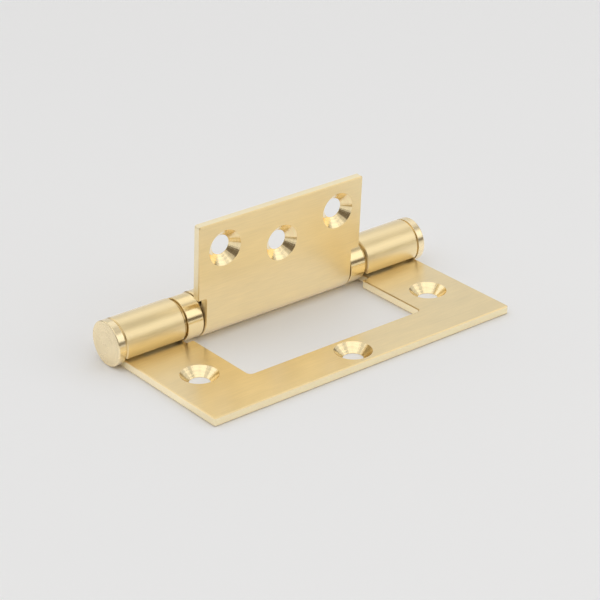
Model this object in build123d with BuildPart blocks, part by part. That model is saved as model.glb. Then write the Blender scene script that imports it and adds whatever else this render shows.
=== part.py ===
from build123d import *
from math import cos, pi, radians, sin
import os

# Flush hinge with two ball bearings on a fixed pin, in millimetres.
# X runs along the pin, +Z is up and the outer leaf lies flat with its screw heads up.
# The origin is on the underside of the outer leaf, below the middle of the pin.

# Driving sizes of the two rolled leaves
leaf_length = 100.0
sheet = 2.4
barrel_radius = 6.3
inner_reach = 29.1
wing_width = 2.6
bar_width = 12.9
lean_angle = 3.4
lip_angle = 30.0
edge_break = 0.25

# The barrel from the middle outwards: long knuckle, bearing, end knuckle, cap
middle_knuckle = 50.0
bearing_space = 6.5
cap_gap = 0.35
cap_thickness = 2.25

# Window of the outer leaf, and the step of the inner leaf above each bearing
window_side_gap = 1.6
window_front_gap = 1.7
barrel_gap = 0.05
step_rise = 0.9
window_corner = 1.2
leaf_corner = 0.6
step_corner = 0.5
largest_arm_corner = 0.6
largest_relief_corner = 0.3

# Screw holes, all with one countersink
screw_bore_radius = 2.8
countersink_radius = 5.1
countersink_angle = 90.0
arm_hole_reach = 22.7
arm_hole_offset = 0.35
upper_hole_side_distance = 8.5
upper_hole_edge_distance = 8.2
lower_hole_drop = 4.1

# Pin and caps
pin_clearance = 0.05
spigot_length = 7.0
pin_chamfer = 0.3
cap_edge = 0.25
neck_depth = 0.5

# Bearings
sleeve_step = 0.2
sleeve_wall = 0.4
sleeve_edge = 0.12
sleeve_inner_gap = 0.5
collar_width = 1.0
race_clearance = 0.1
inner_race_thickness = 2.2
ball_clearance = 0.05
ball_count = 8
cage_wall = 0.175
cage_clearance = 0.1

# Places closer than this are one place when edges and faces are chosen
same_place = 0.001

# Places that follow from the sizes above
eye_radius = barrel_radius - sheet
half_length = leaf_length / 2
bearing_start = middle_knuckle / 2
bearing_end = bearing_start + bearing_space
inner_half_width = bearing_start + wing_width
window_half_width = inner_half_width + window_side_gap
window_reach = inner_reach + window_front_gap
outer_reach = window_reach + bar_width
arm_back = barrel_radius + barrel_gap
step_reach = barrel_radius + step_rise
cut_depth = 3 * barrel_radius

# The ledge at the back of each arm carries two corners, which it limits
arm_ledge = bearing_end - window_half_width
arm_corner = min(largest_arm_corner, arm_ledge / 3)
relief_corner = min(largest_relief_corner, arm_ledge / 6)

# Screw places: the bar's hole is in its middle, an arm's hole a little nearer the window
bar_hole_reach = (window_reach + outer_reach) / 2
arm_hole_place = (window_half_width + half_length) / 2 - arm_hole_offset
upper_hole_place = inner_half_width - upper_hole_side_distance
upper_hole_reach = inner_reach - upper_hole_edge_distance
lower_hole_reach = upper_hole_reach - lower_hole_drop

# Pin and caps along the pin
pin_radius = eye_radius - pin_clearance
pin_half_length = half_length - spigot_length
cap_start = half_length + cap_gap
cap_end = cap_start + cap_thickness

# Bearing radii and the places of its parts along the pin
sleeve_radius = barrel_radius - sleeve_step
sleeve_bore = sleeve_radius - sleeve_wall
sleeve_start = bearing_start + sleeve_inner_gap
sleeve_end = bearing_end - collar_width
race_bore = pin_radius + race_clearance
outer_race_radius = sleeve_bore - race_clearance
cage_bore = race_bore + race_clearance
pitch_radius = (cage_bore + outer_race_radius) / 2
groove_radius = (outer_race_radius - cage_bore) / 2 - cage_wall
ball_radius = groove_radius - ball_clearance
groove_depth = ball_radius / 2
race_gap = 2 * (groove_radius - groove_depth)
cage_thickness = race_gap - 2 * cage_clearance
inner_race_end = bearing_start + inner_race_thickness
ball_place = inner_race_end + race_gap / 2
outer_race_start = inner_race_end + race_gap
outer_race_middle = (outer_race_start + bearing_end) / 2

# Frames with their origin on the pin, x along the pin. Each leaf lies at negative y, below its frame.
pin_middle = Vector(0, 0, barrel_radius)
pin_axis = Axis(pin_middle, (1, 0, 0))
lean = radians(lean_angle)
outer_frame = Plane(pin_middle, x_dir=(1, 0, 0), z_dir=(0, 0, 1))
inner_frame = Plane(pin_middle, x_dir=(1, 0, 0), z_dir=(0, cos(lean), sin(lean)))
turning_plane = Plane(pin_middle, x_dir=(1, 0, 0), z_dir=(0, -1, 0))


def cross_plane(frame, place):
    """A plane across the pin at a place along it, with the frame's y and z as its own x and y."""
    return Plane(frame.origin + frame.x_dir * place, x_dir=frame.y_dir, z_dir=frame.x_dir)


def underside(frame):
    """The flat face of a leaf that faces away from the pin, seen from outside."""
    return Plane(frame.origin - frame.z_dir * barrel_radius, x_dir=frame.x_dir, z_dir=-frame.z_dir)


def rolled_outline(reach):
    """Outline of a strip that lies flat under the pin and then rolls round it to an open lip."""
    roll = 270 + lip_angle
    with BuildLine() as outline:
        outside = CenterArc((0, 0), barrel_radius, -90, roll)
        inside = CenterArc((0, 0), eye_radius, -90, roll)
        Line(outside @ 1, inside @ 1)
        Polyline(
            inside @ 0,
            (-reach, -eye_radius),
            (-reach, -barrel_radius),
            outside @ 0,
        )
    return outline.edges()


def upright_edges(part, frame, reach):
    """The straight edges through the sheet at this distance from the pin, from left to right."""
    through = part.edges().filter_by(GeomType.LINE).filter_by(Axis(frame.origin, frame.z_dir))
    chosen = through.filter_by(lambda edge: abs(local_middle(edge, frame).Y + reach) < same_place)
    return chosen.sort_by(Axis.X)


def leaf_rim(part, frame, height):
    """The edges round one flat face of a leaf, apart from the line where the roll starts."""
    flat = part.faces().filter_by(GeomType.PLANE)
    level = flat.filter_by(lambda face: abs(local_middle(face, frame).Z - height) < same_place)
    rim = level.sort_by(SortBy.AREA)[-1].outer_wire().edges()
    return rim.filter_by(lambda edge: local_middle(edge, frame).Y < -edge_break)


def local_middle(shape, frame):
    """The middle of an edge or a face, as its frame sees it."""
    return frame.to_local_coords(shape.center())


def export(part, label):
    """Name a finished piece and write it."""
    part.label = label
    export_step(part, f"parts/{label}.step")


os.makedirs("parts", exist_ok=True)

# Outer leaf: a U-shaped plate with a rolled end knuckle at the back of each arm
with BuildPart() as outer_leaf:
    with BuildSketch(cross_plane(outer_frame, -half_length)):
        make_face(rolled_outline(outer_reach))
    extrude(amount=leaf_length)
    with BuildSketch(outer_frame):
        with Locations((0, -window_reach)):
            Rectangle(2 * window_half_width, window_reach - arm_back, align=(Align.CENTER, Align.MIN))
        with Locations((0, -arm_back)):
            Rectangle(2 * bearing_end, cut_depth, align=(Align.CENTER, Align.MIN))
    extrude(amount=cut_depth, both=True, mode=Mode.SUBTRACT)
    with Locations(outer_frame.offset(-eye_radius)):
        with Locations(
            (0, -bar_hole_reach),
            (-arm_hole_place, -arm_hole_reach),
            (arm_hole_place, -arm_hole_reach),
        ):
            CounterSinkHole(screw_bore_radius, countersink_radius, counter_sink_angle=countersink_angle)
    fillet(upright_edges(outer_leaf, outer_frame, outer_reach), leaf_corner)
    fillet(upright_edges(outer_leaf, outer_frame, window_reach), window_corner)
    fillet(upright_edges(outer_leaf, outer_frame, arm_back)[1:3], arm_corner)
    ledge_ends = upright_edges(outer_leaf, outer_frame, arm_back)
    fillet([ledge_ends[0], ledge_ends[-1]], relief_corner)
    rims = leaf_rim(outer_leaf, outer_frame, -eye_radius) + leaf_rim(outer_leaf, outer_frame, -barrel_radius)
    chamfer(rims, edge_break)
export(outer_leaf.part, "outer_leaf")

# Inner leaf: a plate that stands up from one long knuckle and reaches past it above each bearing
with BuildPart() as inner_leaf:
    with BuildSketch(cross_plane(inner_frame, -inner_half_width)):
        make_face(rolled_outline(inner_reach))
    extrude(amount=2 * inner_half_width)
    with BuildSketch(inner_frame):
        for side in (-1, 1):
            with Locations((side * (bearing_start + wing_width), -step_reach)):
                Rectangle(
                    2 * wing_width,
                    step_reach + cut_depth,
                    align=(Align.CENTER, Align.MIN),
                )
    extrude(amount=cut_depth, both=True, mode=Mode.SUBTRACT)
    with Locations(underside(inner_frame)):
        with Locations(
            (0, lower_hole_reach),
            (-upper_hole_place, upper_hole_reach),
            (upper_hole_place, upper_hole_reach),
        ):
            CounterSinkHole(screw_bore_radius, countersink_radius, counter_sink_angle=countersink_angle)
    fillet(upright_edges(inner_leaf, inner_frame, inner_reach), leaf_corner)
    step_edges = upright_edges(inner_leaf, inner_frame, step_reach)
    fillet([step_edges[0], step_edges[-1]], step_corner)
    fillet(upright_edges(inner_leaf, inner_frame, step_reach)[1:3], relief_corner)
    rims = leaf_rim(inner_leaf, inner_frame, -eye_radius) + leaf_rim(inner_leaf, inner_frame, -barrel_radius)
    chamfer(rims, edge_break)
export(inner_leaf.part, "inner_leaf")

# Pin: a plain steel rod between the two cap spigots
with BuildPart() as hinge_pin:
    with BuildSketch(cross_plane(outer_frame, -pin_half_length)):
        Circle(pin_radius)
    extrude(amount=2 * pin_half_length)
    chamfer(hinge_pin.edges().filter_by(GeomType.CIRCLE), pin_chamfer)
export(hinge_pin.part, "hinge_pin")

# Caps: a turned disc, a narrow neck against the knuckle and a spigot pressed into its eye
for side, name in ((-1, "left"), (1, "right")):
    with BuildPart() as end_cap:
        with BuildSketch(turning_plane):
            with BuildLine():
                Polyline(
                    (side * pin_half_length, 0),
                    (side * cap_end, 0),
                    (side * cap_end, barrel_radius - cap_edge),
                    (side * (cap_end - cap_edge), barrel_radius),
                    (side * cap_start, barrel_radius),
                    (side * cap_start, barrel_radius - neck_depth),
                    (side * half_length, barrel_radius - neck_depth),
                    (side * half_length, eye_radius),
                    (side * (pin_half_length + pin_chamfer), eye_radius),
                    (side * pin_half_length, eye_radius - pin_chamfer),
                    close=True,
                )
            make_face()
        revolve(axis=pin_axis)
    export(end_cap.part, f"{name}_end_cap")

# Bearings: sleeve and inner race turn with the inner leaf, the outer race stays with the outer leaf
for side, name in ((-1, "left"), (1, "right")):
    with BuildPart() as sleeve:
        with BuildSketch(turning_plane):
            with Locations((side * (sleeve_start + sleeve_end) / 2, (sleeve_bore + sleeve_radius) / 2)):
                Rectangle(sleeve_end - sleeve_start, sleeve_wall)
        revolve(axis=pin_axis)
        rims = sleeve.edges().filter_by(GeomType.CIRCLE).group_by(SortBy.RADIUS)[-1]
        chamfer(rims, sleeve_edge)
    export(sleeve.part, f"{name}_bearing_sleeve")

    with BuildPart() as inner_race:
        with BuildSketch(turning_plane):
            with Locations((side * (bearing_start + inner_race_end) / 2, (race_bore + sleeve_bore) / 2)):
                Rectangle(inner_race_thickness, sleeve_bore - race_bore)
            with Locations((side * ball_place, pitch_radius)):
                Circle(groove_radius, mode=Mode.SUBTRACT)
        revolve(axis=pin_axis)
    export(inner_race.part, f"{name}_inner_race")

    with BuildPart() as outer_race:
        with BuildSketch(turning_plane):
            with Locations((side * outer_race_middle, (race_bore + outer_race_radius) / 2)):
                Rectangle(bearing_end - outer_race_start, outer_race_radius - race_bore)
            with Locations((side * ball_place, pitch_radius)):
                Circle(groove_radius, mode=Mode.SUBTRACT)
        revolve(axis=pin_axis)
    export(outer_race.part, f"{name}_outer_race")

    with BuildPart() as cage:
        with BuildSketch(cross_plane(outer_frame, side * ball_place)):
            Circle(outer_race_radius)
            Circle(cage_bore, mode=Mode.SUBTRACT)
            with PolarLocations(pitch_radius, ball_count):
                Circle(groove_radius, mode=Mode.SUBTRACT)
        extrude(amount=cage_thickness / 2, both=True)
    export(cage.part, f"{name}_ball_cage")

    for number in range(ball_count):
        turn = 2 * pi * number / ball_count
        middle = pin_middle + Vector(side * ball_place, pitch_radius * cos(turn), pitch_radius * sin(turn))
        with BuildPart() as ball:
            with Locations(middle):
                Sphere(ball_radius)
        export(ball.part, f"{name}_ball_{number + 1:02d}")
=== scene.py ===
"""Finishes and studio for a flush ball bearing hinge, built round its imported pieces."""

import math

import bmesh
import bpy
from mathutils import Matrix, Vector


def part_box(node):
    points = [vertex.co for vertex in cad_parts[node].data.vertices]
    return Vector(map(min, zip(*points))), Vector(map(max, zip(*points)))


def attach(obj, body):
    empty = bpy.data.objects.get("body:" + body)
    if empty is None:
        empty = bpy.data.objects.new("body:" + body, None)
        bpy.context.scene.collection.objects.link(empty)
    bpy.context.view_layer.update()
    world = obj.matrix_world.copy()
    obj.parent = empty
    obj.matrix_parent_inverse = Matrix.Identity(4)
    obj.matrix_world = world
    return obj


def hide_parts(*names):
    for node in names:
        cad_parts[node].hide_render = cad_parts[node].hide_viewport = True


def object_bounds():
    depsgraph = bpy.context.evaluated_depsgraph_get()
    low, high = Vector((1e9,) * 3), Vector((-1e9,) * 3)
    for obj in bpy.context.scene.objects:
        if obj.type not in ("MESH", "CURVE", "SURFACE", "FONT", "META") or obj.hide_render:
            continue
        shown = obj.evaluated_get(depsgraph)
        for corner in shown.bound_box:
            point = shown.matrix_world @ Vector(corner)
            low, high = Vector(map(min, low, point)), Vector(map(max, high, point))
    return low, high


bl_info = {
    "name": "Ball Bearing Hinge",
    "version": (1, 0, 0),
    "blender": (4, 5, 0),
    "location": "View3D > Sidebar > Hinge",
    "description": "Rolled brass leaves, bearings and caps of a flush door hinge",
    "category": "Object",
}

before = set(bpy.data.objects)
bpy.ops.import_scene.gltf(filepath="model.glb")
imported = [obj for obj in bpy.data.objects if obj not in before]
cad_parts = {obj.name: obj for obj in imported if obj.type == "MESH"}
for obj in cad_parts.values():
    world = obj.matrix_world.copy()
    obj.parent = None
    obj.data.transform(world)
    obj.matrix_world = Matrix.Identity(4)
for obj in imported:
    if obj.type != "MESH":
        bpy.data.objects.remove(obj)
CAD_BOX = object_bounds()

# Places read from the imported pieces: x runs along the pin, the outer leaf lies flat at negative y
OUTER_LOW, OUTER_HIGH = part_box("outer_leaf")
CAP_LOW, CAP_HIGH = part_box("right_end_cap")
SLEEVE_LOW, SLEEVE_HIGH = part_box("right_bearing_sleeve")
HALF_LENGTH = OUTER_HIGH.x
BARREL_RADIUS = OUTER_HIGH.y
PIN_HEIGHT = OUTER_HIGH.z / 2
PIN_MIDDLE = Vector((0.0, 0.0, PIN_HEIGHT))
OUTER_REACH = -OUTER_LOW.y
INNER_HALF_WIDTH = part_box("inner_leaf")[1].x
KNUCKLE_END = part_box("right_inner_race")[0].x
BEARING_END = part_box("right_outer_race")[1].x
SIDES = (("left", -1.0), ("right", 1.0))

# Vertices closer than this stand in the same place
SAME_PLACE = 1e-6
# Edges that bend by more than this stay sharp in the smooth shading
SHARP_ANGLE = math.radians(40)
# How far large flat faces outweigh the rounded edges beside them in the shading
FLATS_WEIGHT = 100
# Faces across a rounded corner of a leaf
CORNER_STEPS = 8
# The wall of a hole is looked for up to this many times the radius of its rim
NEAR_HOLE = 1.1
# Shares of a normal along an axis: exactly level, flat rather than chamfered, and chamfered rather than cut
LEVEL = 0.999
FLAT = 0.9
SLOPING = 0.5

# Where the middle of a noise lies, which is stretched to the range that a finish asks for
NOISE_LOW = 0.3
NOISE_HIGH = 0.7
# Fineness of each grain along x, y and z: the larger the number, the finer
BROAD_GRAIN = (90, 240, 240)
BRUSHED_GRAIN = (170, 2800, 2800)
CUT_GRAIN = (1500, 2600, 2600)
BEVEL_GRAIN = (2600, 2600, 2600)
INSIDE_GRAIN = (900, 2400, 2400)
POLISHED_GRAIN = (5000, 300, 300)
RACE_GRAIN = (4000, 300, 300)
STEEL_GRAIN = (3000, 400, 400)
CAGE_GRAIN = (900, 900, 900)
# Turned faces: how far their rings wander round the centre, how much coarser the chatter is than the rings,
# how dark and light the rings get, how much the gloss varies, and how much of the relief the rings make
RING_WANDER = 0.9
CHATTER_COARSENESS = 20
RING_SHADES = (0.93, 1.05)
TURNED_GLOSS = 0.05
RING_RELIEF = 0.5
# The caps are turned a little duller than the countersinks
CAP_DULLNESS = 0.08
COAT_ROUGHNESS = 0.2
COAT_IOR = 1.55
# A turn of the highlights from round the pin to along it
QUARTER_TURN = 0.25

# Directions in the room: its lit side behind the hinge, and a half dim patch high on the camera's right
LIT_SIDE = Vector((0.57, 0.82, 0.0))
DIM_SIDE = Vector((0.56, -0.20, 0.80)).normalized()
# Where each part of the room starts and is full: the belt by its height, the others by a cosine
BELT_EDGE = (0.26, 0.19)
LIT_EDGE = (0.95, 0.86)
CAMERA_EDGE = (0.80, 0.92)
DIM_EDGE = (0.93, 0.98)
DIM_SHARE = 0.5
BELT_TINT = (1.0, 0.85, 0.7)
# The floor under the window: its middle from the pin, and where its glow starts and is full on either side
WINDOW_MIDDLE = 0.018
WINDOW_EDGE = (0.017, 0.011)
FLOOR_ROUGHNESS = 0.9
GLOW_COLOUR = (0.97, 1.0, 1.12, 1.0)
# Softboxes: name, direction from the hinge, width and height, and the setting that holds their brightness
SOFTBOXES = (
    ("overhead_softbox", (-0.28, -0.35, 0.90), (1.3, 1.3), "overhead_light"),
    ("right_softbox", (0.56, -0.65, 0.51), (1.1, 0.60), "softbox_light"),
    ("back_softbox", (0.56, 0.28, 0.78), (1.0, 0.42), "far_light"),
    ("left_softbox", (-0.44, 0.70, 0.56), (0.8, 0.5), "far_light"),
)
SOFTBOX_DISTANCE = 1.1
SENSOR_WIDTH = 36.0
CLIP_START = 0.01


class LeafSettings(bpy.types.PropertyGroup):
    """Sizes of the two rolled leaves."""

    sheet: bpy.props.FloatProperty(
        name="Sheet", description="Thickness of both leaves", default=0.0024, unit="LENGTH")
    inner_reach: bpy.props.FloatProperty(
        name="Inner Reach", description="Pin to the free edge of the inner leaf",
        default=0.0291, unit="LENGTH")
    lean: bpy.props.FloatProperty(
        name="Lean", description="Lean of the upright leaf", default=math.radians(3.4), subtype="ANGLE")
    roll: bpy.props.FloatProperty(
        name="Roll", description="Angle that a knuckle is rolled through",
        default=math.radians(300), subtype="ANGLE")
    roll_steps: bpy.props.IntProperty(
        name="Roll Steps", description="Faces round a knuckle", default=100)
    edge_break: bpy.props.FloatProperty(
        name="Edge Break", description="Chamfer of the edges", default=0.00025, unit="LENGTH")
    step_rise: bpy.props.FloatProperty(
        name="Step Rise", description="Height of the inner leaf's step above the barrel",
        default=0.0009, unit="LENGTH")
    side_gap: bpy.props.FloatProperty(
        name="Side Gap", description="Gap between the inner leaf and the window's side",
        default=0.0016, unit="LENGTH")
    front_gap: bpy.props.FloatProperty(
        name="Front Gap", description="Gap between the inner leaf and the front bar",
        default=0.0017, unit="LENGTH")
    barrel_gap: bpy.props.FloatProperty(
        name="Barrel Gap", description="Gap between an arm's ledge and the barrel",
        default=0.00005, unit="LENGTH")
    leaf_corner: bpy.props.FloatProperty(
        name="Leaf Corner", description="Radius of the free corners", default=0.0006, unit="LENGTH")
    window_corner: bpy.props.FloatProperty(
        name="Window Corner", description="Radius of the window's front corners",
        default=0.0012, unit="LENGTH")
    ledge_corner: bpy.props.FloatProperty(
        name="Ledge Corner", description="Radius of an arm's corner beside the barrel",
        default=0.0006, unit="LENGTH")
    step_corner: bpy.props.FloatProperty(
        name="Step Corner", description="Radius of the inner leaf's lower corners",
        default=0.0005, unit="LENGTH")
    relief_corner: bpy.props.FloatProperty(
        name="Relief Corner", description="Radius inside the notches", default=0.0003, unit="LENGTH")


class ScrewSettings(bpy.types.PropertyGroup):
    """Sizes and places of the countersunk holes."""

    bore_radius: bpy.props.FloatProperty(
        name="Bore Radius", description="Radius of a screw bore", default=0.0028, unit="LENGTH")
    rim_radius: bpy.props.FloatProperty(
        name="Rim Radius", description="Radius of a countersink at the face", default=0.0051, unit="LENGTH")
    rim_break: bpy.props.FloatProperty(
        name="Rim Break", description="Rounding of a countersink's rim", default=0.00006, unit="LENGTH")
    steps: bpy.props.IntProperty(name="Steps", description="Faces round a hole", default=72)
    rings: bpy.props.IntProperty(name="Rings", description="Cuts across a countersink's wall", default=3)
    bar_reach: bpy.props.FloatProperty(
        name="Bar Hole", description="Pin to the hole in the front bar", default=0.03725, unit="LENGTH")
    arm_place: bpy.props.FloatProperty(
        name="Arm Holes Apart", description="Middle of the hinge to a hole in an arm",
        default=0.03925, unit="LENGTH")
    arm_reach: bpy.props.FloatProperty(
        name="Arm Holes", description="Pin to the holes in the arms", default=0.0227, unit="LENGTH")
    upper_place: bpy.props.FloatProperty(
        name="Upper Holes Apart", description="Middle of the hinge to an upper hole",
        default=0.0191, unit="LENGTH")
    upper_reach: bpy.props.FloatProperty(
        name="Upper Holes", description="Pin to the upper holes of the inner leaf",
        default=0.0209, unit="LENGTH")
    lower_reach: bpy.props.FloatProperty(
        name="Lower Hole", description="Pin to the lower hole of the inner leaf",
        default=0.0168, unit="LENGTH")


class BarrelSettings(bpy.types.PropertyGroup):
    """Sizes of the turned pieces on the pin."""

    steps: bpy.props.IntProperty(name="Steps", description="Faces round a turned piece", default=128)
    cap_gap: bpy.props.FloatProperty(
        name="Cap Gap", description="Groove between a cap and its knuckle", default=0.00035, unit="LENGTH")
    cap_edge: bpy.props.FloatProperty(
        name="Cap Edge", description="Rounding of a cap's rim", default=0.0003, unit="LENGTH")
    neck_depth: bpy.props.FloatProperty(
        name="Neck Depth", description="Depth of the groove behind a cap", default=0.0005, unit="LENGTH")
    sleeve_wall: bpy.props.FloatProperty(
        name="Sleeve Wall", description="Wall of a bearing sleeve", default=0.0004, unit="LENGTH")
    sleeve_edge: bpy.props.FloatProperty(
        name="Sleeve Edge", description="Rounding of a sleeve's ends and of a cap's back",
        default=0.00012, unit="LENGTH")
    edge_steps: bpy.props.IntProperty(name="Edge Steps", description="Faces across a rounding", default=5)


class FinishSettings(bpy.types.PropertyGroup):
    """Colours and gloss of the metals."""

    leaf_colour: bpy.props.FloatVectorProperty(
        name="Leaf", description="Satin brass of the leaves", default=(0.90, 0.72, 0.385), subtype="COLOR")
    edge_colour: bpy.props.FloatVectorProperty(
        name="Edge", description="Cut edges of the leaves", default=(1.0, 0.87, 0.58), subtype="COLOR")
    # The chamfers are a darker gold than the faces: painted shade that draws dark lines along the edges
    bevel_shade_colour: bpy.props.FloatVectorProperty(
        name="Bevel", description="Chamfers between faces and edges",
        default=(0.86, 0.66, 0.33), subtype="COLOR")
    # The dark brown of the roll's inside is painted shade for the slot under each knuckle
    inside_shade_colour: bpy.props.FloatVectorProperty(
        name="Inside", description="Painted shade on the inside of a rolled knuckle",
        default=(0.34, 0.23, 0.10), subtype="COLOR")
    turned_colour: bpy.props.FloatVectorProperty(
        name="Turned", description="Turned brass of the caps", default=(0.94, 0.78, 0.48), subtype="COLOR")
    sleeve_colour: bpy.props.FloatVectorProperty(
        name="Sleeve", description="Polished brass of the sleeves",
        default=(0.93, 0.75, 0.42), subtype="COLOR")
    countersink_colour: bpy.props.FloatVectorProperty(
        name="Countersink", description="Turned brass of the countersinks",
        default=(0.95, 0.785, 0.47), subtype="COLOR")
    # The outer races' dark brass is partly painted shade, so that the groove beside each sleeve reads dark
    race_colour: bpy.props.FloatVectorProperty(
        name="Race", description="Brass of the outer races", default=(0.58, 0.42, 0.19), subtype="COLOR")
    steel_colour: bpy.props.FloatVectorProperty(
        name="Steel", description="Ground steel of the balls and the pin",
        default=(0.62, 0.62, 0.63), subtype="COLOR")
    # Dark brass on the inner races: painted shade for the dark gap between each sleeve and the middle
    # knuckle
    race_shade_colour: bpy.props.FloatVectorProperty(
        name="Painted Shade", description="Greased brass of the inner races",
        default=(0.22, 0.155, 0.08), subtype="COLOR")
    leaf_roughness: bpy.props.FloatProperty(
        name="Leaf Roughness", description="Gloss of the brushed faces", default=0.34, subtype="FACTOR")
    edge_roughness: bpy.props.FloatProperty(
        name="Edge Roughness", description="Gloss of the cut edges", default=0.50, subtype="FACTOR")
    bevel_roughness: bpy.props.FloatProperty(
        name="Bevel Roughness", description="Gloss of the chamfers", default=0.32, subtype="FACTOR")
    inside_roughness: bpy.props.FloatProperty(
        name="Inside Roughness", description="Gloss inside a rolled knuckle", default=0.5, subtype="FACTOR")
    turned_roughness: bpy.props.FloatProperty(
        name="Turned Roughness", description="Gloss of turned faces", default=0.18, subtype="FACTOR")
    sleeve_roughness: bpy.props.FloatProperty(
        name="Sleeve Roughness", description="Gloss of the sleeves", default=0.22, subtype="FACTOR")
    coat: bpy.props.FloatProperty(
        name="Lacquer", description="Weight of the clear lacquer", default=1.0, subtype="FACTOR")


class StudioSettings(bpy.types.PropertyGroup):
    """Camera, floor and soft lights."""

    azimuth: bpy.props.FloatProperty(
        name="Azimuth", description="Camera's turn from -Y", default=math.radians(-38.73), subtype="ANGLE")
    elevation: bpy.props.FloatProperty(
        name="Elevation", description="Camera above the floor",
        default=math.radians(26.34), subtype="ANGLE")
    distance: bpy.props.FloatProperty(
        name="Distance", description="Camera to its aim", default=0.57315, unit="LENGTH")
    aim: bpy.props.FloatVectorProperty(
        name="Aim", description="Point in the middle of the picture",
        default=(0.00641, -0.00697, 0.00342), subtype="XYZ")
    lens: bpy.props.FloatProperty(name="Lens", description="Focal length in millimetres", default=125.65)
    floor_colour: bpy.props.FloatVectorProperty(
        name="Floor", description="Colour of the floor", default=(0.92, 0.92, 0.92), subtype="COLOR")
    floor_glow: bpy.props.FloatProperty(
        name="Floor Glow", description="Extra brightness of the floor in the metal's reflections",
        default=0.09)
    window_glow: bpy.props.FloatProperty(
        name="Window Glow", description="More of it under the window of the outer leaf", default=0.12)
    floor_size: bpy.props.FloatProperty(
        name="Floor Size", description="Side of the floor", default=6.0, unit="LENGTH")
    floor_drop: bpy.props.FloatProperty(
        name="Floor Drop", description="Gap that keeps the floor out of the leaf",
        default=0.00005, unit="LENGTH")
    wall_light: bpy.props.FloatProperty(
        name="Wall Light", description="Brightness of the room",
        default=0.74)
    belt_light: bpy.props.FloatProperty(
        name="Belt Light", description="Brightness just above the floor on the camera's side", default=0.16)
    softbox_light: bpy.props.FloatProperty(
        name="Softbox Light", description="Brightness of the softbox on the right", default=0.58)
    far_light: bpy.props.FloatProperty(
        name="Far Light", description="Brightness of the two softboxes behind the hinge", default=0.42)
    overhead_light: bpy.props.FloatProperty(
        name="Overhead Light", description="Brightness of the overhead softbox", default=0.46)


def unit(azimuth, elevation):
    """Direction from the object: azimuth 0 is towards -Y and 90 towards +X."""
    return Vector((
        math.sin(azimuth) * math.cos(elevation),
        -math.cos(azimuth) * math.cos(elevation),
        math.sin(elevation),
    ))


# Materials

def add(tree, kind, inputs=None, **settings):
    """Add a shader node, set its options and fill or link its inputs."""
    made = tree.nodes.new(kind)
    for key, value in settings.items():
        setattr(made, key, value)
    for key, value in (inputs or {}).items():
        if isinstance(value, bpy.types.NodeSocket):
            tree.links.new(value, made.inputs[key])
        else:
            made.inputs[key].default_value = value
    return made


def start_material(name):
    """A new material, its tree and its principled shader."""
    material = bpy.data.materials.new(name)
    material.use_nodes = True
    tree = material.node_tree
    tree.nodes.clear()
    shader = add(tree, "ShaderNodeBsdfPrincipled", {"Metallic": 1.0})
    output = add(tree, "ShaderNodeOutputMaterial")
    tree.links.new(shader.outputs["BSDF"], output.inputs["Surface"])
    return material, tree, shader


def object_place(tree):
    """The place on the piece, in its own coordinates."""
    return add(tree, "ShaderNodeTexCoord").outputs["Object"]


def maths(tree, operation, *values):
    """One step of arithmetic on numbers or outputs of nodes."""
    return add(tree, "ShaderNodeMath", dict(enumerate(values)), operation=operation).outputs[0]


def streaks(tree, place, scale, detail=3.0):
    """Noise stretched by a scale for each axis, as grey from 0 to 1."""
    mapped = add(tree, "ShaderNodeMapping", {"Vector": place, "Scale": scale}).outputs["Vector"]
    noise = add(tree, "ShaderNodeTexNoise", {"Vector": mapped, "Scale": 1.0, "Detail": detail})
    return noise.outputs["Fac"]


def span(tree, value, low, high):
    """Stretch the middle of a noise to the range from low to high."""
    middle = add(tree, "ShaderNodeMapRange", {
        "Value": value, "From Min": NOISE_LOW, "From Max": NOISE_HIGH, "To Min": low, "To Max": high})
    return middle.outputs["Result"]


def tinted(tree, colour, shade):
    """A colour made darker or lighter by a grey value near 1."""
    grey = add(tree, "ShaderNodeCombineColor", {"Red": shade, "Green": shade, "Blue": shade})
    mixed = add(tree, "ShaderNodeMix", {"Factor": 1.0}, data_type="RGBA", blend_type="MULTIPLY")
    mixed.inputs[6].default_value = (*colour, 1.0)
    tree.links.new(grey.outputs["Color"], mixed.inputs[7])
    return mixed.outputs[2]


def relief(tree, shader, height, depth):
    """Give a shader a fine relief of this depth."""
    bump = add(tree, "ShaderNodeBump", {"Height": height, "Strength": 1.0, "Distance": depth})
    tree.links.new(bump.outputs["Normal"], shader.inputs["Normal"])


def lacquer(shader, coat):
    """Lay a clear lacquer over a metal."""
    shader.inputs["Coat Weight"].default_value = coat
    shader.inputs["Coat Roughness"].default_value = COAT_ROUGHNESS
    shader.inputs["Coat IOR"].default_value = COAT_IOR


def stretch(tree, shader, anisotropy, turn):
    """Stretch highlights round the pin, or along it after a quarter turn."""
    shader.inputs["Anisotropic"].default_value = anisotropy
    shader.inputs["Anisotropic Rotation"].default_value = turn
    across = add(tree, "ShaderNodeTangent", direction_type="RADIAL", axis="X")
    tree.links.new(across.outputs["Tangent"], shader.inputs["Tangent"])


def metal(name, colour, roughness, grain, shade, gloss, depth, coat=0.0, anisotropy=0.0, turn=0.0):
    """A metal whose shade, gloss and relief follow a grain, each by so much round its mean."""
    material, tree, shader = start_material(name)
    place = object_place(tree)
    fine = streaks(tree, place, grain)
    broad = streaks(tree, place, BROAD_GRAIN, detail=2.0)
    mean = maths(tree, "MULTIPLY", maths(tree, "ADD", fine, broad), 0.5)
    tree.links.new(tinted(tree, colour, span(tree, mean, 1 - shade, 1 + shade)), shader.inputs["Base Color"])
    tree.links.new(span(tree, mean, roughness - gloss, roughness + gloss), shader.inputs["Roughness"])
    relief(tree, shader, fine, depth)
    lacquer(shader, coat)
    if anisotropy:
        stretch(tree, shader, anisotropy, turn)
    return material


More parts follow.
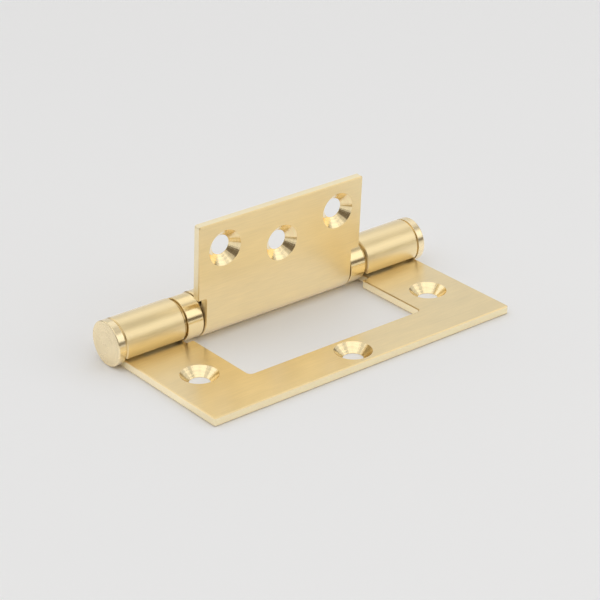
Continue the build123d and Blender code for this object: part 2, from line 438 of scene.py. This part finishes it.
def turned_metal(name, colour, roughness, ring, chatter, depth, coat=0.0, anisotropy=0.0):
    """A turned metal with fine rings round its centre, crossed by chatter marks."""
    material, tree, shader = start_material(name)
    round_centre = add(tree, "ShaderNodeAttribute", attribute_name="turning").outputs["Vector"]
    rings = streaks(tree, round_centre, (RING_WANDER, RING_WANDER, ring), detail=2.0)
    marks = streaks(tree, round_centre, (chatter, chatter, ring / CHATTER_COARSENESS), detail=2.0)
    gloss = span(tree, marks, roughness - TURNED_GLOSS, roughness + TURNED_GLOSS)
    tree.links.new(tinted(tree, colour, span(tree, rings, *RING_SHADES)), shader.inputs["Base Color"])
    tree.links.new(gloss, shader.inputs["Roughness"])
    relief(tree, shader, maths(tree, "MULTIPLY_ADD", rings, RING_RELIEF, marks), depth)
    lacquer(shader, coat)
    if anisotropy:
        stretch(tree, shader, anisotropy, QUARTER_TURN)
    return material


def leaf_materials():
    """Brushed face, cut edge, chamfer, turned countersink and the roll's inside in painted shade, made once.
    """
    names = ("brushed_brass", "cut_edge_brass", "bevel_brass", "countersink_brass", "inside_shade_brass")
    if names[0] in bpy.data.materials:
        return [bpy.data.materials[name] for name in names]
    finish = bpy.context.scene.hinge_finish
    return [
        metal(names[0], finish.leaf_colour, finish.leaf_roughness, BRUSHED_GRAIN,
              shade=0.06, gloss=0.05, depth=0.000012, coat=finish.coat, anisotropy=0.75),
        metal(names[1], finish.edge_colour, finish.edge_roughness, CUT_GRAIN,
              shade=0.06, gloss=0.06, depth=0.00003, coat=finish.coat),
        # Chamfers in a darker gold: painted shade along the edges
        metal(names[2], finish.bevel_shade_colour, finish.bevel_roughness, BEVEL_GRAIN,
              shade=0.06, gloss=0.05, depth=0.000002, coat=finish.coat),
        turned_metal(names[3], finish.countersink_colour, finish.turned_roughness,
                     ring=2600, chatter=7, depth=0.000035),
        # The roll's inside, seen only through the slot, is darkened as painted shade
        metal(names[4], finish.inside_shade_colour, finish.inside_roughness, INSIDE_GRAIN,
              shade=0.12, gloss=0.1, depth=0.000008),
    ]


# Mesh helpers

def finish_piece(bm, name, body, nodes, materials):
    """Turn a bmesh into a shaded piece that rides on a body and stands for CAD nodes."""
    bmesh.ops.recalc_face_normals(bm, faces=bm.faces)
    open_edges = [edge for edge in bm.edges if not edge.is_manifold]
    if open_edges:
        raise RuntimeError(f"{name} has {len(open_edges)} open edges")
    mesh = bpy.data.meshes.new(name)
    bm.to_mesh(mesh)
    bm.free()
    mesh.shade_smooth()
    mesh.set_sharp_from_angle(angle=SHARP_ANGLE)
    for material in materials:
        mesh.materials.append(material)
    piece = bpy.data.objects.new(name, mesh)
    bpy.context.scene.collection.objects.link(piece)
    weighted = piece.modifiers.new("even_flats", "WEIGHTED_NORMAL")
    weighted.mode = "FACE_AREA"
    weighted.weight = FLATS_WEIGHT
    weighted.keep_sharp = True
    bpy.context.view_layer.objects.active = piece
    with bpy.context.temp_override(object=piece, active_object=piece, selected_objects=[piece]):
        bpy.ops.object.modifier_apply(modifier=weighted.name)
    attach(piece, body)
    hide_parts(*nodes)


def plate(bm, outline, thickness):
    """A flat plate from outline corners, each with its place and radius."""
    corners = [bm.verts.new((x, y, 0.0)) for x, y, radius in outline]
    bm.faces.new(corners)
    for corner, (x, y, radius) in zip(corners, outline):
        if radius:
            bmesh.ops.bevel(
                bm, geom=[corner], offset=radius, segments=CORNER_STEPS, profile=0.5,
                affect="VERTICES", material=-1)
    grown = bmesh.ops.extrude_face_region(bm, geom=list(bm.faces), use_keep_orig=True)
    lifted = [item for item in grown["geom"] if isinstance(item, bmesh.types.BMVert)]
    bmesh.ops.translate(bm, verts=lifted, vec=(0.0, 0.0, thickness))
    bmesh.ops.recalc_face_normals(bm, faces=bm.faces)


def break_rims(bm, size):
    """Chamfer the edges of both flat faces, apart from where the roll starts at y = 0."""
    rims = [
        edge for edge in bm.edges
        if abs(edge.verts[0].co.z - edge.verts[1].co.z) < SAME_PLACE
        and max(abs(vert.co.y) for vert in edge.verts) > SAME_PLACE
    ]
    bmesh.ops.bevel(bm, geom=rims, offset=size, segments=1, profile=0.5, affect="EDGES", material=-1)


def mark_turning(bm, verts, across, centre):
    """Note each vertex's direction and distance from a turning centre, measured along two of its axes."""
    layer = bm.verts.layers.float_vector["turning"]
    for vert in verts:
        first, second = (vert.co[axis] - centre[axis] for axis in across)
        radius = math.hypot(first, second)
        if radius > SAME_PLACE:
            vert[layer] = (first / radius, second / radius, radius)


def countersink(bm, centre, screws, thickness):
    """Turn the wall of one hole, opening at the top, and return its top and bottom rims."""
    cone = screws.rim_radius - screws.bore_radius
    profile = [(screws.rim_radius + screws.rim_break, thickness)]
    for ring in range(screws.rings + 1):
        deep = screws.rim_break + (cone - screws.rim_break) * ring / screws.rings
        profile.append((screws.rim_radius - cone * ring / screws.rings, thickness - deep))
    profile.append((screws.bore_radius, 0.0))
    points = [bm.verts.new((centre.x + radius, centre.y, height)) for radius, height in profile]
    edges = [bm.edges.new(pair) for pair in zip(points, points[1:])]
    bmesh.ops.spin(
        bm, geom=points + edges, cent=(centre.x, centre.y, 0.0), axis=(0.0, 0.0, 1.0),
        angle=math.tau, steps=screws.steps, use_merge=True)
    wall = [vert for vert in bm.verts if (vert.co.xy - centre.xy).length < screws.rim_radius * NEAR_HOLE]
    mark_turning(bm, wall, (0, 1), centre)
    rims = {edge for vert in wall for edge in vert.link_edges if len(edge.link_faces) == 1}
    top = [edge for edge in rims if all(vert.co.z > thickness - SAME_PLACE for vert in edge.verts)]
    bottom = [edge for edge in rims if all(vert.co.z < SAME_PLACE for vert in edge.verts)]
    return top, bottom


def pierce(bm, places, screws, thickness):
    """Replace both flat faces of a plate by faces with countersunk holes."""
    flats = [face for face in bm.faces if abs(face.normal.z) > LEVEL]
    flats.sort(key=lambda face: face.calc_center_median().z)
    rims = [list(face.edges) for face in flats]
    bmesh.ops.delete(bm, geom=flats, context="FACES_ONLY")
    for place in places:
        top, bottom = countersink(bm, place, screws, thickness)
        rims[1] += top
        rims[0] += bottom
    for edges in rims:
        bmesh.ops.triangle_fill(bm, use_beauty=True, edges=edges)


def roll_knuckles(bm, leaf):
    """Roll the plate's back faces, which stand at y = 0, round the pin."""
    backs = [face for face in bm.faces if all(abs(vert.co.y) < SAME_PLACE for vert in face.verts)]
    for back in backs:
        geometry = [back, *back.edges, *back.verts]
        bmesh.ops.spin(
            bm, geom=geometry, cent=PIN_MIDDLE, axis=(1.0, 0.0, 0.0),
            angle=leaf.roll, steps=leaf.roll_steps)


def sort_finishes(bm, places, screws, leaf):
    """Give each face its finish, in the order of the leaf's materials."""
    brushed, cut_edge, bevel, turned, inside = range(5)
    eye = BARREL_RADIUS - leaf.sheet
    rim = screws.rim_radius + screws.rim_break
    bm.normal_update()
    for face in bm.faces:
        middle = face.calc_center_median()
        normal = face.normal
        from_pin = Vector((0.0, middle.y, middle.z - PIN_HEIGHT))
        if middle.y < -SAME_PLACE and middle.z < leaf.sheet + SAME_PLACE:
            if abs(normal.z) < LEVEL and any((middle.xy - place.xy).length < rim for place in places):
                face.material_index = turned
            elif abs(normal.z) < SLOPING:
                face.material_index = cut_edge
            else:
                face.material_index = bevel if abs(normal.z) < FLAT else brushed
        elif abs(normal.x) > SLOPING:
            face.material_index = cut_edge if abs(normal.x) > FLAT else bevel
        # The inside of the roll and the end of its lip take the painted shade of the slot
        elif from_pin.length < eye + leaf.edge_break or abs(normal.dot(from_pin.normalized())) < SLOPING:
            face.material_index = inside
        else:
            face.material_index = brushed


def hole_places(middle_reach, side_place, side_reach):
    """Centres of a leaf's holes: one in the middle and one on either side."""
    return [
        Vector((0.0, -middle_reach, 0.0)),
        Vector((-side_place, -side_reach, 0.0)),
        Vector((side_place, -side_reach, 0.0)),
    ]


def leaf_blank(right, places, screws, leaf):
    """A flat leaf with chamfered rims and countersunk holes, from the right half of its outline."""
    left = [(-x, y, radius) for x, y, radius in reversed(right)]
    bm = bmesh.new()
    bm.verts.layers.float_vector.new("turning")
    plate(bm, right + left, leaf.sheet)
    break_rims(bm, leaf.edge_break)
    pierce(bm, places, screws, leaf.sheet)
    return bm


class HINGE_OT_outer_leaf(bpy.types.Operator):
    """Make the U-shaped leaf with a rolled knuckle at the back of each arm"""

    bl_idname = "hinge.outer_leaf"
    bl_label = "Outer Leaf"

    def execute(self, context):
        leaf = context.scene.hinge_leaf
        screws = context.scene.hinge_screws
        window_side = INNER_HALF_WIDTH + leaf.side_gap
        window_front = -(leaf.inner_reach + leaf.front_gap)
        ledge = -(BARREL_RADIUS + leaf.barrel_gap)
        right = [
            (window_side, window_front, leaf.window_corner),
            (window_side, ledge, leaf.ledge_corner),
            (BEARING_END, ledge, leaf.relief_corner),
            (BEARING_END, 0.0, 0.0),
            (HALF_LENGTH, 0.0, 0.0),
            (HALF_LENGTH, -OUTER_REACH, leaf.leaf_corner),
        ]
        places = hole_places(screws.bar_reach, screws.arm_place, screws.arm_reach)
        bm = leaf_blank(right, places, screws, leaf)
        roll_knuckles(bm, leaf)
        sort_finishes(bm, places, screws, leaf)
        finish_piece(bm, "outer_leaf_brushed", "outer", ["outer_leaf"], leaf_materials())
        return {"FINISHED"}


class HINGE_OT_inner_leaf(bpy.types.Operator):
    """Make the upright leaf with one long rolled knuckle"""

    bl_idname = "hinge.inner_leaf"
    bl_label = "Inner Leaf"

    def execute(self, context):
        leaf = context.scene.hinge_leaf
        screws = context.scene.hinge_screws
        step = -(BARREL_RADIUS + leaf.step_rise)
        right = [
            (KNUCKLE_END, 0.0, 0.0),
            (KNUCKLE_END, step, leaf.relief_corner),
            (INNER_HALF_WIDTH, step, leaf.step_corner),
            (INNER_HALF_WIDTH, -leaf.inner_reach, leaf.leaf_corner),
        ]
        places = hole_places(screws.lower_reach, screws.upper_place, screws.upper_reach)
        bm = leaf_blank(right, places, screws, leaf)
        bmesh.ops.scale(
            bm, vec=(1.0, 1.0, -1.0), verts=bm.verts, space=Matrix.Translation((0.0, 0.0, -leaf.sheet / 2)))
        roll_knuckles(bm, leaf)
        sort_finishes(bm, places, screws, leaf)
        bmesh.ops.rotate(
            bm, verts=bm.verts, cent=PIN_MIDDLE,
            matrix=Matrix.Rotation(leaf.lean - math.pi / 2, 3, "X"))
        finish_piece(bm, "inner_leaf_brushed", "inner", ["inner_leaf"], leaf_materials())
        return {"FINISHED"}


def turn_piece(profile, steps, side, hollow):
    """A body turned round the pin on one side, from points of place along it and radius."""
    bm = bmesh.new()
    bm.verts.layers.float_vector.new("turning")
    points = [bm.verts.new((side * place, 0.0, PIN_HEIGHT + radius)) for place, radius in profile]
    edges = [bm.edges.new(pair) for pair in zip(points, points[1:])]
    if hollow:
        edges.append(bm.edges.new((points[-1], points[0])))
    bmesh.ops.spin(
        bm, geom=points + edges, cent=PIN_MIDDLE, axis=(1.0, 0.0, 0.0),
        angle=math.tau, steps=steps, use_merge=True)
    bmesh.ops.remove_doubles(bm, verts=bm.verts, dist=SAME_PLACE / 10)
    mark_turning(bm, bm.verts, (1, 2), PIN_MIDDLE)
    return bm


def quarter(centre_place, centre_radius, size, start, end, steps):
    """Points of a rounding from one angle to another, measured from the pin's direction to the radius."""
    turns = [start + (end - start) * step / steps for step in range(steps + 1)]
    return [(centre_place + size * math.cos(turn), centre_radius + size * math.sin(turn)) for turn in turns]


class HINGE_OT_end_caps(bpy.types.Operator):
    """Turn the two caps, with fine rings on their faces"""

    bl_idname = "hinge.end_caps"
    bl_label = "End Caps"

    def execute(self, context):
        barrel = context.scene.hinge_barrel
        leaf = context.scene.hinge_leaf
        finish = context.scene.hinge_finish
        face = turned_metal(
            "turned_brass", finish.turned_colour, finish.turned_roughness + CAP_DULLNESS,
            ring=1600, chatter=2, depth=0.00002, coat=0.6, anisotropy=0.8)
        eye = BARREL_RADIUS - leaf.sheet
        neck = BARREL_RADIUS - barrel.neck_depth
        back = HALF_LENGTH + barrel.cap_gap
        end = CAP_HIGH.x
        profile = [
            (CAP_LOW.x, 0.0), (CAP_LOW.x, eye), (HALF_LENGTH, eye), (HALF_LENGTH, neck), (back, neck)]
        profile += quarter(
            back + barrel.sleeve_edge, BARREL_RADIUS - barrel.sleeve_edge, barrel.sleeve_edge,
            math.pi, math.pi / 2, barrel.edge_steps)
        profile += quarter(
            end - barrel.cap_edge, BARREL_RADIUS - barrel.cap_edge, barrel.cap_edge,
            math.pi / 2, 0.0, barrel.edge_steps)
        profile.append((end, 0.0))
        for name, side in SIDES:
            bm = turn_piece(profile, barrel.steps, side, hollow=False)
            finish_piece(bm, f"{name}_cap_turned", "outer", [f"{name}_end_cap"], [face])
        return {"FINISHED"}


class HINGE_OT_bearings(bpy.types.Operator):
    """Turn the polished sleeves of the two bearings"""

    bl_idname = "hinge.bearings"
    bl_label = "Bearings"

    def execute(self, context):
        barrel = context.scene.hinge_barrel
        finish = context.scene.hinge_finish
        polished = metal(
            "polished_brass", finish.sleeve_colour, finish.sleeve_roughness, POLISHED_GRAIN,
            shade=0.03, gloss=0.02, depth=0.0000008, anisotropy=0.8, turn=QUARTER_TURN)
        radius = SLEEVE_HIGH.z - PIN_HEIGHT
        bore = radius - barrel.sleeve_wall
        edge = barrel.sleeve_edge
        profile = [(SLEEVE_LOW.x, bore)]
        profile += quarter(SLEEVE_LOW.x + edge, radius - edge, edge, math.pi, math.pi / 2, barrel.edge_steps)
        profile += quarter(SLEEVE_HIGH.x - edge, radius - edge, edge, math.pi / 2, 0.0, barrel.edge_steps)
        profile.append((SLEEVE_HIGH.x, bore))
        for name, side in SIDES:
            bm = turn_piece(profile, barrel.steps, side, hollow=True)
            finish_piece(bm, f"{name}_sleeve_polished", "inner",
                         [f"{name}_bearing_sleeve"], [polished])
        return {"FINISHED"}


class HINGE_OT_inside_pieces(bpy.types.Operator):
    """Give the pieces inside the barrel their finishes"""

    bl_idname = "hinge.inside_pieces"
    bl_label = "Inside Pieces"

    def execute(self, context):
        finish = context.scene.hinge_finish
        # The outer races' darker brass is partly painted shade for the groove beside each sleeve
        race = metal(
            "race_metal", finish.race_colour, roughness=0.25, grain=RACE_GRAIN,
            shade=0.03, gloss=0.03, depth=0.000001)
        steel = metal(
            "ground_steel", finish.steel_colour, roughness=0.2, grain=STEEL_GRAIN,
            shade=0.03, gloss=0.03, depth=0.000001)
        # The inner races are painted dark as the shade in the gap beside each sleeve
        race_shade = metal(
            "race_shade_brass", finish.race_shade_colour, roughness=0.3, grain=STEEL_GRAIN,
            shade=0.05, gloss=0.05, depth=0.000001)
        cage = metal(
            "cage_metal", finish.race_colour, roughness=0.4, grain=CAGE_GRAIN,
            shade=0.05, gloss=0.05, depth=0.000002)
        for name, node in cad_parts.items():
            if name.endswith("outer_race"):
                chosen = race
            elif name.endswith("inner_race"):
                chosen = race_shade
            elif name.endswith("cage"):
                chosen = cage
            elif "ball_0" in name or name == "hinge_pin":
                chosen = steel
            else:
                continue
            node.material_slots[0].link = "OBJECT"
            node.material_slots[0].material = chosen
        return {"FINISHED"}


def softbox(name, direction, size, brightness):
    """An area light that faces the hinge, as bright as the brightness says whatever its size."""
    lamp = bpy.data.lights.new(name, "AREA")
    lamp.shape = "RECTANGLE"
    lamp.size, lamp.size_y = size
    lamp.energy = brightness * math.pi * size[0] * size[1]
    holder = bpy.data.objects.new(name, lamp)
    bpy.context.scene.collection.objects.link(holder)
    holder.location = direction.normalized() * SOFTBOX_DISTANCE
    holder.rotation_mode = "QUATERNION"
    holder.rotation_quaternion = direction.to_track_quat("Z", "Y")


def step_up(tree, value, low, high):
    """Rise smoothly from 0 at low to 1 at high."""
    made = add(tree, "ShaderNodeMapRange", {"Value": value, "From Min": low, "From Max": high},
               interpolation_type="SMOOTHSTEP")
    return made.outputs["Result"]


def facing(tree, direction, target, low, high):
    """Rise smoothly from 0 to 1 as the cosine between a direction and a target goes from low to high."""
    cosine = add(tree, "ShaderNodeVectorMath", {0: direction, 1: target}, operation="DOT_PRODUCT")
    return step_up(tree, cosine.outputs["Value"], low, high)


def room(studio):
    """A pale world with a dark low belt, a dark patch round the camera and a half dim one beside it."""
    world = bpy.data.worlds.new("pale_room")
    bpy.context.scene.world = world
    world.use_nodes = True
    tree = world.node_tree
    tree.nodes.clear()
    direction = add(tree, "ShaderNodeTexCoord").outputs["Generated"]
    height = add(tree, "ShaderNodeSeparateXYZ", {"Vector": direction}).outputs["Z"]
    belt = maths(
        tree, "MULTIPLY", step_up(tree, height, *BELT_EDGE), facing(tree, direction, LIT_SIDE, *LIT_EDGE))
    camera_side = unit(studio.azimuth, studio.elevation)
    unlit = maths(tree, "MAXIMUM", belt, facing(tree, direction, camera_side, *CAMERA_EDGE))
    dim = maths(tree, "MULTIPLY", facing(tree, direction, DIM_SIDE, *DIM_EDGE), DIM_SHARE)
    pale = (studio.wall_light, studio.wall_light, studio.wall_light, 1.0)
    shade = add(tree, "ShaderNodeMix", {"Factor": maths(tree, "MAXIMUM", unlit, dim)}, data_type="RGBA")
    shade.inputs[6].default_value = pale
    shade.inputs[7].default_value = (*(studio.belt_light * share for share in BELT_TINT), 1.0)
    seen = add(tree, "ShaderNodeLightPath").outputs["Is Camera Ray"]
    colour = add(tree, "ShaderNodeMix", {"Factor": seen}, data_type="RGBA")
    tree.links.new(shade.outputs[2], colour.inputs[6])
    colour.inputs[7].default_value = pale
    glow = add(tree, "ShaderNodeBackground", {"Color": colour.outputs[2], "Strength": 1.0})
    output = add(tree, "ShaderNodeOutputWorld")
    tree.links.new(glow.outputs["Background"], output.inputs["Surface"])


def floor_paint(studio):
    """Pale paint that glows a little in the metal's reflections, most of all under the window."""
    paint, tree, shader = start_material("pale_floor")
    shader.inputs["Metallic"].default_value = 0.0
    shader.inputs["Roughness"].default_value = FLOOR_ROUGHNESS
    shader.inputs["Base Color"].default_value = (*studio.floor_colour, 1.0)
    shader.inputs["Emission Color"].default_value = GLOW_COLOUR
    mirrored = add(tree, "ShaderNodeLightPath").outputs["Is Glossy Ray"]
    along = add(tree, "ShaderNodeSeparateXYZ", {"Vector": object_place(tree)}).outputs["Y"]
    beside = maths(tree, "ABSOLUTE", maths(tree, "ADD", along, WINDOW_MIDDLE))
    under_window = step_up(tree, beside, *WINDOW_EDGE)
    amount = maths(tree, "MULTIPLY_ADD", under_window, studio.window_glow, studio.floor_glow)
    tree.links.new(maths(tree, "MULTIPLY", mirrored, amount), shader.inputs["Emission Strength"])
    return paint


class HINGE_OT_stage(bpy.types.Operator):
    """Lay the pale floor, hang the soft lights and set the camera"""

    bl_idname = "hinge.stage"
    bl_label = "Stage"

    def execute(self, context):
        studio = context.scene.hinge_studio
        bm = bmesh.new()
        bmesh.ops.create_grid(
            bm, x_segments=1, y_segments=1, size=studio.floor_size / 2,
            matrix=Matrix.Translation((0.0, 0.0, CAD_BOX[0].z - studio.floor_drop)))
        mesh = bpy.data.meshes.new("floor")
        bm.to_mesh(mesh)
        bm.free()
        floor = bpy.data.objects.new("floor", mesh)
        context.scene.collection.objects.link(floor)
        mesh.materials.append(floor_paint(studio))
        room(studio)
        for name, direction, size, brightness in SOFTBOXES:
            softbox(name, Vector(direction), size, getattr(studio, brightness))
        camera = bpy.data.objects.new("camera", bpy.data.cameras.new("camera"))
        context.scene.collection.objects.link(camera)
        back = unit(studio.azimuth, studio.elevation)
        camera.location = Vector(studio.aim) + back * studio.distance
        camera.rotation_mode = "QUATERNION"
        camera.rotation_quaternion = (-back).to_track_quat("-Z", "Y")
        camera.data.lens = studio.lens
        camera.data.sensor_width = SENSOR_WIDTH
        camera.data.clip_start = CLIP_START
        context.scene.camera = camera
        context.scene.view_settings.view_transform = "Standard"
        return {"FINISHED"}


class HINGE_PT_sidebar(bpy.types.Panel):
    """Sizes, finishes and pieces of the hinge"""

    bl_idname = "HINGE_PT_sidebar"
    bl_label = "Ball Bearing Hinge"
    bl_space_type = "VIEW_3D"
    bl_region_type = "UI"
    bl_category = "Hinge"

    def draw(self, context):
        for settings in SETTINGS:
            group = getattr(context.scene, settings)
            box = self.layout.box()
            for name in group.bl_rna.properties.keys():
                if name not in ("rna_type", "name"):
                    box.prop(group, name)
        for step in STEPS:
            self.layout.operator(f"hinge.{step}")


STEPS = ("outer_leaf", "inner_leaf", "end_caps", "bearings", "inside_pieces", "stage")
SETTINGS = {
    "hinge_leaf": LeafSettings,
    "hinge_screws": ScrewSettings,
    "hinge_barrel": BarrelSettings,
    "hinge_finish": FinishSettings,
    "hinge_studio": StudioSettings,
}
OPERATORS = (
    HINGE_OT_outer_leaf,
    HINGE_OT_inner_leaf,
    HINGE_OT_end_caps,
    HINGE_OT_bearings,
    HINGE_OT_inside_pieces,
    HINGE_OT_stage,
)


def register():
    for settings in SETTINGS.values():
        bpy.utils.register_class(settings)
    for name, settings in SETTINGS.items():
        setattr(bpy.types.Scene, name, bpy.props.PointerProperty(type=settings))
    for operator in OPERATORS:
        bpy.utils.register_class(operator)
    bpy.utils.register_class(HINGE_PT_sidebar)


def unregister():
    bpy.utils.unregister_class(HINGE_PT_sidebar)
    for operator in reversed(OPERATORS):
        bpy.utils.unregister_class(operator)
    for name in SETTINGS:
        delattr(bpy.types.Scene, name)
    for settings in reversed(SETTINGS.values()):
        bpy.utils.unregister_class(settings)


def main():
    register()
    for step in STEPS:
        getattr(bpy.ops.hinge, step)()


if __name__ == "__main__":
    main()
